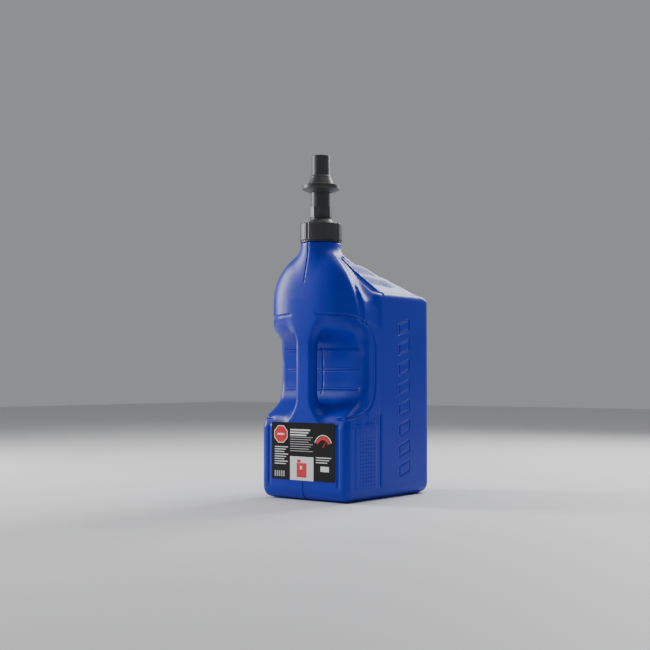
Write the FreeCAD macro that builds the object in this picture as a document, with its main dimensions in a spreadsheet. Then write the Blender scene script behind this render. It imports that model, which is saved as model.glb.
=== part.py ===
"""Blow-moulded fuel jug with a column handle, a screw cap and a spring-loaded filling nozzle.

Frame: millimetres, +Z up, +Y to the back, origin under the middle of the base.
The spout stands on the neck axis, which is near the front. Driving sizes are cells of the sheet Sizes.
"""
import FreeCAD
import Part
import Sketcher
import math
import os

V = FreeCAD.Vector
doc = FreeCAD.newDocument("FuelJug")
sheet = doc.addObject("Spreadsheet::Sheet", "Sizes")
nodes = []


class Dim:
    """A length that keeps the sheet expression it comes from."""

    def __init__(self, value, text):
        self.value = value
        self.text = text

    def __add__(self, other):
        other = as_dim(other)
        return Dim(self.value + other.value, f"({self.text} + {other.text})")

    def __radd__(self, other):
        return as_dim(other) + self

    def __sub__(self, other):
        other = as_dim(other)
        return Dim(self.value - other.value, f"({self.text} - {other.text})")

    def __rsub__(self, other):
        return as_dim(other) - self

    def __mul__(self, factor):
        factor = as_dim(factor)
        return Dim(self.value * factor.value, f"({self.text} * {factor.text})")

    def __truediv__(self, divisor):
        divisor = as_dim(divisor)
        return Dim(self.value / divisor.value, f"({self.text} / {divisor.text})")

    def __neg__(self):
        return as_dim(0) - self

    def __float__(self):
        return self.value


def as_dim(number):
    """A plain number as a Dim."""
    if isinstance(number, Dim):
        return number
    return Dim(float(number), f"({float(number):.6g})")


def size(name, value):
    """Write one driving size into the sheet and return it."""
    size.row += 1
    sheet.set(f"A{size.row}", name)
    sheet.set(f"B{size.row}", str(value))
    sheet.setAlias(f"B{size.row}", name)
    return Dim(float(value), f"Sizes.{name}")


size.row = 0

# ---- jug ----
body_width = size("body_width", 203)
body_depth = size("body_depth", 271)
front_inset = size("front_inset", 0.5)
head_inset = size("head_inset", 3)
rear_depth = size("rear_depth", 166)
eave_height = size("eave_height", 379)
wall = size("wall", 3)
corner_radius = size("corner_radius", 19)
front_corner_radius = size("front_corner_radius", 12)
foot_radius = size("foot_radius", 20)
rear_top_radius = size("rear_top_radius", 28)
roof_side_radius = size("roof_side_radius", 5)
underside_rise = size("underside_rise", 2.5)
underside_rim = size("underside_rim", 30)
ledge_height = size("ledge_height", 149)
recess_depth = size("recess_depth", 59.5)
recess_foot = size("recess_foot", 39)
recess_brow_drop = size("recess_brow_drop", 44)
recess_ceiling_rise = size("recess_ceiling_rise", 34)
handle_width = size("handle_width", 41)
handle_depth = size("handle_depth", 22.5)
handle_corner = size("handle_corner", 9)
handle_flare = size("handle_flare", 12)
handle_flare_height = size("handle_flare_height", 27)
shoulder_drop = size("shoulder_drop", 16)
dome_height = size("dome_height", 102)
dome_corner = size("dome_corner", 48)
dome_back = size("dome_back", 62)
roof_rise = size("roof_rise", 67)
roof_top_width = size("roof_top_width", 82)
roof_top_front = size("roof_top_front", 7)
roof_top_back = size("roof_top_back", 24)
roof_back_inset = size("roof_back_inset", 26)
roof_front_setback = size("roof_front_setback", 4)
neck_setback = size("neck_setback", 53)
front_half = body_width / 2 - front_inset
head_half = body_width / 2 - head_inset
shoulder_height = eave_height - shoulder_drop
brow_height = shoulder_height - recess_brow_drop
neck_y = neck_setback - body_depth / 2

# ---- clearances ----
face_clearance = size("face_clearance", 0.3)
seat_clearance = size("seat_clearance", 0.05)
ring_clearance = size("ring_clearance", 0.1)
thread_clearance = size("thread_clearance", 0.6)
flange_clearance = size("flange_clearance", 1.4)
skirt_clearance = size("skirt_clearance", 1)
sleeve_clearance = size("sleeve_clearance", 0.3)
cup_clearance = size("cup_clearance", 0.4)
plug_clearance = size("plug_clearance", 0.5)

# ---- neck, thread and cap ----
neck_core_radius = size("neck_core_radius", 33)
neck_wall = size("neck_wall", 3.5)
neck_step = size("neck_step", 4.8)
neck_rise = size("neck_rise", 9)
neck_length = size("neck_length", 26)
thread_depth = size("thread_depth", 2)
thread_pitch = size("thread_pitch", 6)
neck_thread_turns = size("neck_thread_turns", 1.75)
cap_thread_turns = size("cap_thread_turns", 1.5)
neck_thread_start = size("neck_thread_start", 9)
band_height = size("band_height", 3)
band_teeth = size("band_teeth", 36)
cap_wall = size("cap_wall", 4.4)
cap_plate = size("cap_plate", 3.4)
cap_lobes = size("cap_lobes", 8)
flute_radius = size("flute_radius", 5)
flute_depth = size("flute_depth", 1.2)
gasket_thickness = size("gasket_thickness", 2)
flange_thickness = size("flange_thickness", 3)
neck_radius = neck_core_radius + neck_step
neck_bore_radius = neck_core_radius - neck_wall
neck_shoulder_height = shoulder_height + dome_height + neck_rise
neck_lip_height = neck_shoulder_height + neck_length
flange_bottom = neck_lip_height + face_clearance + gasket_thickness
flange_top = flange_bottom + flange_thickness
cap_bore_radius = neck_core_radius + thread_depth + thread_clearance
cap_radius = cap_bore_radius + cap_wall
cap_bottom = neck_shoulder_height + band_height + face_clearance
plate_bottom = flange_top + face_clearance
cap_top = plate_bottom + cap_plate

# ---- fixed spout ----
barrel_bore_radius = size("barrel_bore_radius", 16.1)
barrel_wall = size("barrel_wall", 2.9)
barrel_rise = size("barrel_rise", 53)
barrel_gasket_height = size("barrel_gasket_height", 1.5)
base_step = size("base_step", 6.5)
base_lip = size("base_lip", 1.6)
base_rise = size("base_rise", 8)
socket_depth = size("socket_depth", 6)
skirt_wall = size("skirt_wall", 3)
skirt_length = size("skirt_length", 13)
collar_wall = size("collar_wall", 1.25)
collar_gap = size("collar_gap", 4)
collar_height = size("collar_height", 19)
carrier_height = size("carrier_height", 6)
carrier_hub_radius = size("carrier_hub_radius", 9)
carrier_leg_width = size("carrier_leg_width", 5)
stem_radius = size("stem_radius", 5)
stem_bore_radius = size("stem_bore_radius", 3)
stem_nut_flats = size("stem_nut_flats", 16)
stem_nut_height = size("stem_nut_height", 6)
vent_tube_wall = size("vent_tube_wall", 1.5)
vent_tube_reach = size("vent_tube_reach", 31)
seat_width = size("seat_width", 2.4)
barrel_radius = barrel_bore_radius + barrel_wall
base_radius = barrel_radius + base_step
base_top = cap_top + base_rise
flange_radius = cap_bore_radius - flange_clearance
skirt_radius = neck_bore_radius - skirt_clearance
skirt_bore_radius = skirt_radius - skirt_wall
skirt_bottom = flange_bottom - skirt_length
socket_floor = base_top - socket_depth
barrel_foot = socket_floor + barrel_gasket_height
barrel_top = base_top + barrel_rise
collar_bottom = base_top + collar_gap
vent_tube_end = shoulder_height - vent_tube_reach

# ---- sliding nozzle, plug and spring ----
sleeve_wall = size("sleeve_wall", 3)
sleeve_reach = size("sleeve_reach", 25)
nose_step = size("nose_step", 1.5)
nose_seat = size("nose_seat", 0.3)
nose_wall = size("nose_wall", 2.3)
nose_length = size("nose_length", 42)
tip_step = size("tip_step", 0.9)
tip_land = size("tip_land", 9)
cup_lap = size("cup_lap", 2)
cup_wall = size("cup_wall", 5.9)
cup_roof = size("cup_roof", 2.5)
push_rim = size("push_rim", 9.5)
push_rim_rise = size("push_rim_rise", 6.6)
push_depth = size("push_depth", 14)
cone_rise = size("cone_rise", 14)
cone_lip = size("cone_lip", 2.3)
flange_band_height = size("flange_band_height", 5)
flange_band_wall = size("flange_band_wall", 1.7)
plug_sink = size("plug_sink", 14)
plug_height = size("plug_height", 11)
screw_head_radius = size("screw_head_radius", 4.5)
screw_head_height = size("screw_head_height", 2.2)
screw_shank_radius = size("screw_shank_radius", 2)
spring_wire = size("spring_wire", 2)
spring_inset = size("spring_inset", 1.9)
spring_turns = size("spring_turns", 6)
spring_seat_height = size("spring_seat_height", 2)
seal_wire = size("seal_wire", 2)
sleeve_radius = barrel_bore_radius - sleeve_clearance
sleeve_bore_radius = sleeve_radius - sleeve_wall
sleeve_bottom = barrel_top - sleeve_reach
nozzle_radius = sleeve_radius + nose_step
nozzle_seat_radius = nozzle_radius - nose_seat
nozzle_bore_radius = nozzle_radius - nose_wall
tip_bore_radius = nozzle_bore_radius - tip_step
plug_radius = tip_bore_radius - plug_clearance
cup_radius = barrel_radius + cup_clearance
cone_foot_radius = cup_radius + cup_wall
cone_top_radius = nozzle_radius + cone_lip
push_radius = cone_foot_radius + push_rim
push_bottom = barrel_top - cup_lap
push_rim_bottom = push_bottom + push_rim_rise
push_rim_top = push_bottom + push_depth
cone_top = push_rim_top + cone_rise
cup_ceiling = cone_top - cup_roof
nozzle_top = cone_top + nose_length
stem_top = nozzle_top - plug_sink
seat_low = skirt_bottom + carrier_height
seat_high = seat_low + spring_seat_height
spring_radius = barrel_bore_radius - spring_inset

# ---- label ----
label_width = size("label_width", 148)
label_height = size("label_height", 104.5)
label_bottom = size("label_bottom", 36.8)
label_thickness = size("label_thickness", 0.4)
label_corner = size("label_corner", 3)

doc.recompute()


def node(obj, label):
    """Name a finished sub-part and keep it for export."""
    obj.Label = label
    nodes.append(obj)
    return obj


def bind(obj, **properties):
    """Bind each property of obj to a size."""
    for name, dim in properties.items():
        obj.setExpression(name, as_dim(dim).text)


def stand_on_neck(obj):
    """Put obj on the neck axis."""
    obj.Placement = FreeCAD.Placement(V(0, float(neck_y), 0), obj.Placement.Rotation)
    obj.setExpression("Placement.Base.y", neck_y.text)


def draw_outline(sketch, outline):
    """A closed outline of (across, up) points, each one bound to its sizes."""
    points = [(as_dim(x), as_dim(z)) for x, z in outline]
    count = len(points)
    for here in range(count):
        x, z = points[here]
        x2, z2 = points[(here + 1) % count]
        sketch.addGeometry(Part.LineSegment(V(float(x), float(z), 0), V(float(x2), float(z2), 0)))
    for here in range(count):
        sketch.addConstraint(Sketcher.Constraint("Coincident", here, 2, (here + 1) % count, 1))
    for here, (x, z) in enumerate(points):
        if float(x) == 0:
            sketch.addConstraint(Sketcher.Constraint("PointOnObject", here, 1, -2))
        else:
            index = sketch.addConstraint(Sketcher.Constraint("DistanceX", -1, 1, here, 1, float(x)))
            sketch.setExpression(f"Constraints[{index}]", x.text)
        index = sketch.addConstraint(Sketcher.Constraint("DistanceY", -1, 1, here, 1, float(z)))
        sketch.setExpression(f"Constraints[{index}]", z.text)


def sketch_on(body, role, name):
    """A new sketch on one of the body's own origin planes."""
    sketch = body.newObject("Sketcher::SketchObject", name)
    plane = [feature for feature in body.Origin.OriginFeatures if feature.Role == role][0]
    sketch.AttachmentSupport = [(plane, "")]
    sketch.MapMode = "FlatFace"
    return sketch


def turned(label, outline):
    """A body turned about the neck axis from an outline of (radius, height) points."""
    body = doc.addObject("PartDesign::Body", f"{label}_body")
    sketch = sketch_on(body, "XZ_Plane", f"{label}_outline")
    draw_outline(sketch, outline)
    turn = body.newObject("PartDesign::Revolution", f"{label}_turn")
    turn.Profile = sketch
    turn.ReferenceAxis = (sketch, ["V_Axis"])
    turn.Angle = 360
    stand_on_neck(body)
    return body


def primitive(kind, name, x=0, y=0, z=0, **properties):
    """A Part primitive at a bound place relative to the origin."""
    obj = doc.addObject(f"Part::{kind}", name)
    obj.Placement = FreeCAD.Placement(V(float(x), float(y), float(z)), FreeCAD.Rotation())
    for axis, dim in (("x", x), ("y", y), ("z", z)):
        obj.setExpression(f"Placement.Base.{axis}", as_dim(dim).text)
    bind(obj, **properties)
    return obj


def cut(name, base, tool):
    """base minus tool."""
    obj = doc.addObject("Part::Cut", name)
    obj.Base = base
    obj.Tool = tool
    return obj


def fuse(name, shapes):
    """All shapes as one solid."""
    obj = doc.addObject("Part::MultiFuse", name)
    obj.Shapes = shapes
    return obj


def o_ring(label, radius, height, wire):
    """A torus on the neck axis; radius is to the middle of its wire."""
    ring = primitive("Torus", label, 0, neck_y, height, Radius1=radius, Radius2=wire / 2)
    return node(ring, label)


# ---------------------------------------------------------------- jug

def rounded_box(x_half, y_front, y_back, z_low, z_high, radii):
    """A box whose edges are rounded; radii gives each kind of edge its radius."""
    box = Part.makeBox(2 * x_half, y_back - y_front, z_high - z_low, V(-x_half, y_front, z_low))
    for kind, radius in radii:
        edges = []
        for edge in box.Edges:
            centre = edge.BoundBox.Center
            flat = edge.BoundBox.ZLength < 0.01
            along_x = flat and edge.BoundBox.XLength > x_half
            at_back = centre.y > y_back - 0.01
            at_front = centre.y < y_front + 0.01
            upright = edge.BoundBox.ZLength > (z_high - z_low) / 2 and edge.BoundBox.XLength < 0.01
            if kind == "back_upright" and upright and centre.y > (y_front + y_back) / 2:
                edges.append(edge)
            if kind == "front_upright" and upright and centre.y < (y_front + y_back) / 2:
                edges.append(edge)
            if kind == "foot" and flat and centre.z < z_low + 0.01 and not at_front:
                edges.append(edge)
            if kind == "front_foot" and flat and centre.z < z_low + 0.01 and not at_back:
                edges.append(edge)
            if kind == "back_top" and along_x and at_back and centre.z > z_high - 0.01:
                edges.append(edge)
        box = box.makeFillet(radius, edges)
    return box


def rounded_wire(x_half, y_front, y_back, radius, z):
    """A rectangle with rounded corners, flat at height z, always of eight edges."""
    radius = min(radius, 0.98 * x_half, 0.49 * (y_back - y_front))
    reach = radius * (1 - math.sqrt(0.5))
    corners = ((x_half, y_front, -1, 1), (x_half, y_back, -1, -1),
               (-x_half, y_back, 1, -1), (-x_half, y_front, 1, 1))
    arcs = []
    for index, (x, y, to_x, to_y) in enumerate(corners):
        on_y_side = V(x + to_x * radius, y, z)
        on_x_side = V(x, y + to_y * radius, z)
        middle = V(x + to_x * reach, y + to_y * reach, z)
        ends = (on_y_side, on_x_side) if index % 2 == 0 else (on_x_side, on_y_side)
        arcs.append((ends[0], middle, ends[1]))
    edges = []
    for index, (start, middle, end) in enumerate(arcs):
        edges.append(Part.Arc(start, middle, end).toShape())
        edges.append(Part.LineSegment(end, arcs[(index + 1) % len(arcs)][0]).toShape())
    return Part.Wire(edges)


def side_prism(outline, x_half):
    """An outline of (y, z) points in the side view, drawn right through from side to side."""
    points = [V(-x_half, y, z) for y, z in outline]
    face = Part.Face(Part.makePolygon(points + points[:1]))
    return face.extrude(V(2 * x_half, 0, 0))


def plan_prism(x_half, y_front, y_back, radius, z_low, z_high):
    """A rounded rectangle in plan, drawn up from z_low to z_high."""
    wire = rounded_wire(x_half, y_front, y_back, radius, z_low)
    return Part.Face(wire).extrude(V(0, 0, z_high - z_low))


def dome(inset):
    """The domed head between the shoulder and the neck."""
    axis_y = float(neck_y)
    a_width = float(head_half) - inset
    a_front = float(neck_setback) - inset
    a_back = float(dome_back) - inset
    height = float(dome_height) - inset
    sections = []
    for part in (0, 0.22, 0.42, 0.6, 0.75, 0.86, 0.93):
        round_side = math.sqrt(1 - part ** 2)
        round_front = (1 - part ** 2.5) ** 0.4
        sections.append(rounded_wire(a_width * round_side, axis_y - a_front * round_front,
                                     axis_y + a_back * round_front,
                                     (float(dome_corner) - inset) * round_front,
                                     float(shoulder_height) + part * height))
    return Part.makeLoft(sections, True, False)


def roof(inset):
    """The hipped roof from the neck down to the eaves of the rear block."""
    axis_y = float(neck_y)
    front = axis_y - float(roof_top_front) + inset
    rear_front = float(body_depth) / 2 - float(rear_depth) + float(roof_front_setback)
    rear_back = float(body_depth) / 2 - float(roof_back_inset)
    side = float(body_width) / 2 - float(roof_side_radius)
    low = rounded_wire(side - inset, rear_front + inset, rear_back - inset, float(corner_radius) - inset,
                       float(eave_height) - inset)
    high = rounded_wire(float(roof_top_width) / 2 - inset, front, axis_y + float(roof_top_back) - inset, 1,
                        float(eave_height + roof_rise) - inset)
    return Part.makeLoft([low, high], True, True)


def handle_recess(inset):
    """What the hand recess takes out of the head and the base; inset makes it larger all round."""
    front = -float(body_depth) / 2
    ahead = front - float(body_width)
    wall_y = front + float(recess_depth) + inset
    ledge = float(ledge_height) - inset
    brow = float(brow_height) + inset
    return side_prism([(ahead, ledge), (front, ledge), (wall_y, ledge + float(recess_foot)),
                       (wall_y, brow - float(recess_ceiling_rise)), (front, brow), (ahead, brow)],
                      float(body_width))


def handle(inset):
    """The column that the hand goes round, flared where it joins the head and the base."""
    front = -float(body_depth) / 2 + inset
    back = front + float(handle_depth) - 2 * inset
    half = float(handle_width) / 2 - inset
    flare = float(handle_flare)
    rise = float(handle_flare_height)
    low = float(ledge_height)
    high = float(brow_height)
    corner = float(handle_corner) - inset
    column = plan_prism(half, front, back, corner, low - 12, high + 20)
    foot = Part.makeLoft([rounded_wire(half + flare, front, back + flare, corner, low - 10),
                          rounded_wire(half + flare, front, back + flare, corner, low - inset),
                          rounded_wire(half, front, back, corner, low + rise - inset)], True, True)
    head = Part.makeLoft([rounded_wire(half, front, back, corner, high - rise + inset),
                          rounded_wire(half + flare, front, back + flare, corner, high + inset),
                          rounded_wire(half + flare, front, back + flare, corner, high + 20)], True, True)
    return column.fuse(foot).fuse(head)


def jug_form(inset):
    """The jug as one solid; inset moves every face inwards, which makes the fuel space."""
    front = -float(body_depth) / 2 + inset
    back = float(body_depth) / 2 - inset
    step = float(body_depth) / 2 - float(rear_depth) + inset
    floor = inset + (float(underside_rise) if inset else 0)
    eave = float(eave_height) - inset
    rear = rounded_box(float(body_width) / 2 - inset, step, back, floor, eave,
                       (("back_upright", float(corner_radius) - inset),
                        ("back_top", float(rear_top_radius) - inset),
                        ("foot", float(foot_radius) - inset)))
    half = float(front_half) - inset
    overlap = step + float(corner_radius)
    ledge = float(ledge_height)
    base = rounded_box(half, front, overlap, floor, ledge + float(recess_foot) + inset,
                       (("front_upright", float(front_corner_radius) - inset),
                        ("front_foot", float(foot_radius) - inset)))
    brow = float(brow_height) - inset
    wall_y = front + float(recess_depth)
    middle = side_prism([(wall_y, ledge), (wall_y, brow + 6), (overlap, brow - 6), (overlap, ledge)], half)
    head = plan_prism(float(head_half) - inset, front, overlap + float(dome_corner),
                      float(dome_corner) - inset, ledge + float(recess_foot), float(shoulder_height))
    form = rear.fuse(base).fuse(middle).fuse(head).fuse(dome(inset)).fuse(roof(inset))
    form = form.cut(handle_recess(inset)).fuse(handle(inset))
    return form.removeSplitter()


def thread_ridge(core, depth, turns, start_z, outwards):
    """A helical ridge of trapezoid section that grows out of a wall of radius core."""
    pitch = float(thread_pitch)
    axis = V(0, float(neck_y), 0)
    helix = Part.makeHelix(pitch, pitch * turns, core)
    helix.translate(axis + V(0, 0, start_z))
    sunk = 0.4
    way = 1 if outwards else -1
    root = pitch * 0.23
    crest = pitch * 0.12
    outline = ((-sunk, -root), (depth, -crest), (depth, crest), (-sunk, root))
    points = [V(core + way * x, float(neck_y), start_z + z) for x, z in outline]
    profile = Part.makePolygon(points + points[:1])
    return Part.Wire(helix).makePipeShell([profile], True, True)


def make_jug():
    """The hollow jug with its neck, its thread and the bed for the label."""
    axis = V(0, float(neck_y), 0)
    t = float(wall)
    neck_foot = float(shoulder_height) + 0.6 * float(dome_height)
    outer = jug_form(0)
    foot = axis + V(0, 0, neck_foot)
    neck = Part.makeCylinder(float(neck_radius), float(neck_shoulder_height) - neck_foot, foot)
    lip = Part.makeCylinder(float(neck_core_radius), float(neck_lip_height) - neck_foot, foot)
    outer = outer.fuse(neck).fuse(lip)
    bore = Part.makeCylinder(float(neck_bore_radius), float(neck_lip_height) - neck_foot + 20,
                             axis + V(0, 0, neck_foot - 10))
    inner = jug_form(t).fuse(bore)
    rim = float(underside_rim)
    underside = plan_prism(float(front_half) - rim, -float(body_depth) / 2 + rim,
                           float(body_depth) / 2 - rim, float(corner_radius), -1, float(underside_rise))
    bed = plan_prism(float(label_width) / 2, 0, float(label_height), float(label_corner), 0,
                     float(label_thickness) + 1)
    bed.rotate(V(0, 0, 0), V(1, 0, 0), 90)
    bed.translate(V(0, float(label_thickness) - float(body_depth) / 2, float(label_bottom)))
    ridge = thread_ridge(float(neck_core_radius), float(thread_depth), float(neck_thread_turns),
                         float(neck_shoulder_height) + float(neck_thread_start), True)
    shell = outer.cut(inner).cut(underside).cut(bed).fuse(ridge)
    print("fuel space, litres:", round(inner.Volume / 1e6, 2))
    jug = doc.addObject("Part::Feature", "jug_body")
    jug.Shape = shell
    return node(jug, "jug_body")


def make_label():
    """The printed label in its bed on the front of the base."""
    body = doc.addObject("PartDesign::Body", "label_sheet")
    sketch = sketch_on(body, "XZ_Plane", "label_outline")
    half = label_width / 2
    top = label_bottom + label_height
    draw_outline(sketch, ((-half, label_bottom), (half, label_bottom), (half, top), (-half, top)))
    pad = body.newObject("PartDesign::Pad", "label_pad")
    pad.Profile = sketch
    bind(pad, Length=label_thickness)
    doc.recompute()
    corners = [f"Edge{index + 1}" for index, edge in enumerate(pad.Shape.Edges)
               if edge.BoundBox.YLength > float(label_thickness) / 2]
    fillet = body.newObject("PartDesign::Fillet", "label_corners")
    fillet.Base = (pad, corners)
    bind(fillet, Radius=label_corner)
    body.Placement.Base = V(0, float(label_thickness - body_depth / 2), 0)
    body.setExpression("Placement.Base.y", (label_thickness - body_depth / 2).text)
    return node(body, "info_label")


# ---------------------------------------------------------------- neck and cap

def make_ratchet_band():
    """The toothed band on the neck's shoulder, under the cap."""
    low = neck_shoulder_height
    high = low + band_height
    body = turned("ratchet_band", ((neck_core_radius + seat_clearance, low), (neck_radius + 0.6, low),
                                   (neck_radius + 0.6, high), (neck_core_radius + seat_clearance, high)))
    sketch = sketch_on(body, "XY_Plane", "tooth_gap")
    reach = neck_radius + 0.6
    draw_outline(sketch, ((reach - 1.2, -1), (reach + 1, -1), (reach + 1, 1), (reach - 1.2, 1)))
    gap = body.newObject("PartDesign::Pocket", "tooth_gap_cut")
    gap.Profile = sketch
    gap.Type = "ThroughAll"
    gap.Midplane = True
    teeth = body.newObject("PartDesign::PolarPattern", "teeth")
    teeth.Originals = [gap]
    teeth.Axis = (sketch, ["N_Axis"])
    teeth.Angle = 360
    bind(teeth, Occurrences=band_teeth)
    body.Tip = teeth
    return node(body, "neck_ratchet_band")


def make_cap():
    """The screw ring with its grip flutes and its inside thread."""
    hole = base_radius + face_clearance * 2
    bevel = 1.2
    body = turned("cap_blank", ((cap_bore_radius, cap_bottom), (cap_radius - bevel, cap_bottom),
                                (cap_radius, cap_bottom + bevel), (cap_radius, cap_top - bevel),
                                (cap_radius - bevel, cap_top), (hole, cap_top),
                                (hole, plate_bottom), (cap_bore_radius, plate_bottom)))
    sketch = sketch_on(body, "XY_Plane", "flute_outline")
    centre = cap_radius - flute_depth + flute_radius
    sketch.addGeometry(Part.Circle(V(float(centre), 0, 0), V(0, 0, 1), float(flute_radius)))
    sketch.addConstraint(Sketcher.Constraint("PointOnObject", 0, 3, -1))
    place = sketch.addConstraint(Sketcher.Constraint("DistanceX", -1, 1, 0, 3, float(centre)))
    sketch.setExpression(f"Constraints[{place}]", centre.text)
    radius = sketch.addConstraint(Sketcher.Constraint("Radius", 0, float(flute_radius)))
    sketch.setExpression(f"Constraints[{radius}]", flute_radius.text)
    flute = body.newObject("PartDesign::Pocket", "flute_cut")
    flute.Profile = sketch
    flute.Type = "ThroughAll"
    flute.Midplane = True
    flutes = body.newObject("PartDesign::PolarPattern", "flutes")
    flutes.Originals = [flute]
    flutes.Axis = (sketch, ["N_Axis"])
    flutes.Angle = 360
    bind(flutes, Occurrences=cap_lobes)
    body.Tip = flutes
    ridge = doc.addObject("Part::Feature", "cap_thread")
    start = float(neck_shoulder_height) + float(neck_thread_start) - float(thread_pitch) / 2
    ridge.Shape = thread_ridge(float(cap_bore_radius), float(thread_depth), float(cap_thread_turns), start,
                               False)
    ring = doc.addObject("Part::Fuse", "cap_ring")
    ring.Base = body
    ring.Tool = ridge
    return node(ring, "cap_ring")


# ---------------------------------------------------------------- spout

def make_spout_base():
    """Gasket, base, barrel with its gasket, collar and wiper."""
    node(turned("gasket", ((neck_bore_radius, neck_lip_height + face_clearance),
                           (neck_core_radius, neck_lip_height + face_clearance),
                           (neck_core_radius, flange_bottom), (neck_bore_radius, flange_bottom))),
         "neck_gasket")
    node(turned("base", ((barrel_bore_radius, flange_bottom), (skirt_bore_radius, flange_bottom),
                         (skirt_bore_radius, skirt_bottom), (skirt_radius, skirt_bottom),
                         (skirt_radius, flange_bottom), (flange_radius, flange_bottom),
                         (flange_radius, flange_top), (base_radius, flange_top),
                         (base_radius, cap_top), (barrel_radius + base_lip, base_top),
                         (barrel_radius + seat_clearance, base_top),
                         (barrel_radius + seat_clearance, socket_floor), (barrel_bore_radius, socket_floor))),
         "spout_base")
    node(turned("foot_washer", ((barrel_bore_radius, socket_floor), (barrel_radius, socket_floor),
                                (barrel_radius, barrel_foot), (barrel_bore_radius, barrel_foot))),
         "barrel_gasket")
    groove = barrel_bore_radius + 1.4
    groove_low = barrel_top - 5
    groove_high = barrel_top - 3
    node(turned("barrel", ((barrel_bore_radius, barrel_foot), (barrel_radius, barrel_foot),
                           (barrel_radius, barrel_top), (barrel_bore_radius, barrel_top),
                           (barrel_bore_radius, groove_high), (groove, groove_high),
                           (groove, groove_low), (barrel_bore_radius, groove_low))), "guide_barrel")
    node(turned("wiper", ((sleeve_radius + ring_clearance, groove_low), (groove, groove_low),
                          (groove, groove_high), (sleeve_radius + ring_clearance, groove_high))),
         "barrel_wiper")
    prism = primitive("Prism", "collar_flats", 0, neck_y, collar_bottom, Height=collar_height,
                      Circumradius=(barrel_radius + collar_wall) * (1 / math.cos(math.pi / 12)))
    prism.Polygon = 12
    hole = primitive("Cylinder", "collar_hole", 0, neck_y, collar_bottom - 1,
                     Radius=barrel_radius + seat_clearance, Height=collar_height + 2)
    node(cut("barrel_collar", prism, hole), "barrel_collar")


def make_stem():
    """Carrier, stem, nut, vent tube, plug with its seal and screw, and the lower spring seat."""
    hub = primitive("Cylinder", "carrier_hub", 0, neck_y, skirt_bottom,
                    Radius=carrier_hub_radius, Height=carrier_height)
    rim_out = primitive("Cylinder", "carrier_rim_outside", 0, neck_y, skirt_bottom,
                        Radius=skirt_bore_radius, Height=carrier_height)
    rim_in = primitive("Cylinder", "carrier_rim_inside", 0, neck_y, skirt_bottom - 1,
                       Radius=barrel_bore_radius - seat_width, Height=carrier_height + 2)
    parts = [hub, cut("carrier_rim", rim_out, rim_in)]
    for index in range(3):
        leg = doc.addObject("Part::Box", f"carrier_leg_{index + 1}")
        turn = FreeCAD.Rotation(V(0, 0, 1), 120 * index + 30)
        offset = turn.multVec(V(0, -float(carrier_leg_width) / 2, 0))
        leg.Placement = FreeCAD.Placement(V(offset.x, float(neck_y) + offset.y, float(skirt_bottom)), turn)
        ax, ay = offset.x / float(carrier_leg_width), offset.y / float(carrier_leg_width)
        leg.setExpression("Placement.Base.x", (carrier_leg_width * ax).text)
        leg.setExpression("Placement.Base.y", (neck_y + carrier_leg_width * ay).text)
        leg.setExpression("Placement.Base.z", skirt_bottom.text)
        bind(leg, Length=barrel_bore_radius, Width=carrier_leg_width, Height=carrier_height)
        parts.append(leg)
    hole = primitive("Cylinder", "carrier_hole", 0, neck_y, skirt_bottom - 1,
                     Radius=stem_radius, Height=carrier_height + 2)
    node(cut("stem_carrier", fuse("carrier_web", parts), hole), "stem_carrier")

    stem_bottom = skirt_bottom - stem_nut_height - 8
    node(turned("stem", ((stem_bore_radius, stem_bottom), (stem_radius, stem_bottom),
                         (stem_radius, stem_top), (stem_bore_radius, stem_top))), "vent_stem")
    nut = primitive("Prism", "nut_flats", 0, neck_y, skirt_bottom - stem_nut_height,
                    Height=stem_nut_height, Circumradius=stem_nut_flats / math.sqrt(3))
    nut.Polygon = 6
    nut_hole = primitive("Cylinder", "nut_hole", 0, neck_y, skirt_bottom - stem_nut_height - 1,
                         Radius=stem_radius, Height=stem_nut_height + 2)
    node(cut("stem_nut", nut, nut_hole), "stem_nut")
    tube_outside = stem_radius + vent_tube_wall
    node(turned("tube", ((stem_radius, stem_bottom), (stem_radius, skirt_bottom - stem_nut_height),
                         (tube_outside, skirt_bottom - stem_nut_height), (tube_outside, vent_tube_end),
                         (stem_bore_radius + 1, vent_tube_end), (stem_bore_radius + 1, stem_bottom))),
         "vent_tube")

    plug_top = stem_top + plug_height
    groove = plug_radius - seal_wire + ring_clearance * 2
    mid = stem_top + plug_height / 2
    node(turned("plug", ((screw_shank_radius, stem_top), (stem_radius + 2, stem_top), (plug_radius, stem_top + 3),
                         (plug_radius, mid - 1.2), (groove, mid - 1.2), (groove, mid + 1.2),
                         (plug_radius, mid + 1.2), (plug_radius, plug_top - 1), (plug_radius - 1, plug_top),
                         (screw_shank_radius, plug_top))), "valve_plug")
    o_ring("plug_seal", tip_bore_radius - ring_clearance - seal_wire / 2, mid, seal_wire)
    screw = turned("screw", ((0, stem_top - 6), (screw_shank_radius, stem_top - 6),
                             (screw_shank_radius, plug_top), (screw_head_radius, plug_top),
                             (screw_head_radius, plug_top + screw_head_height - 0.6),
                             (screw_head_radius - 0.6, plug_top + screw_head_height),
                             (0, plug_top + screw_head_height)))
    slots = []
    for index, (length, width) in enumerate(((5, 1.1), (1.1, 5))):
        slots.append(primitive("Box", f"screw_slot_{index + 1}", as_dim(-length / 2), neck_y - width / 2,
                               plug_top + screw_head_height - 1.2, Length=length, Width=width, Height=3))
    node(cut("plug_screw", screw, fuse("screw_cross", slots)), "plug_screw")
    seat_rim = barrel_bore_radius - ring_clearance
    seat_hole = barrel_bore_radius - seat_width
    node(turned("seat", ((seat_hole, seat_low), (seat_rim, seat_low),
                         (seat_rim, seat_high), (seat_hole, seat_high))), "spring_seat")


# ---------------------------------------------------------------- sliding nozzle

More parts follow.
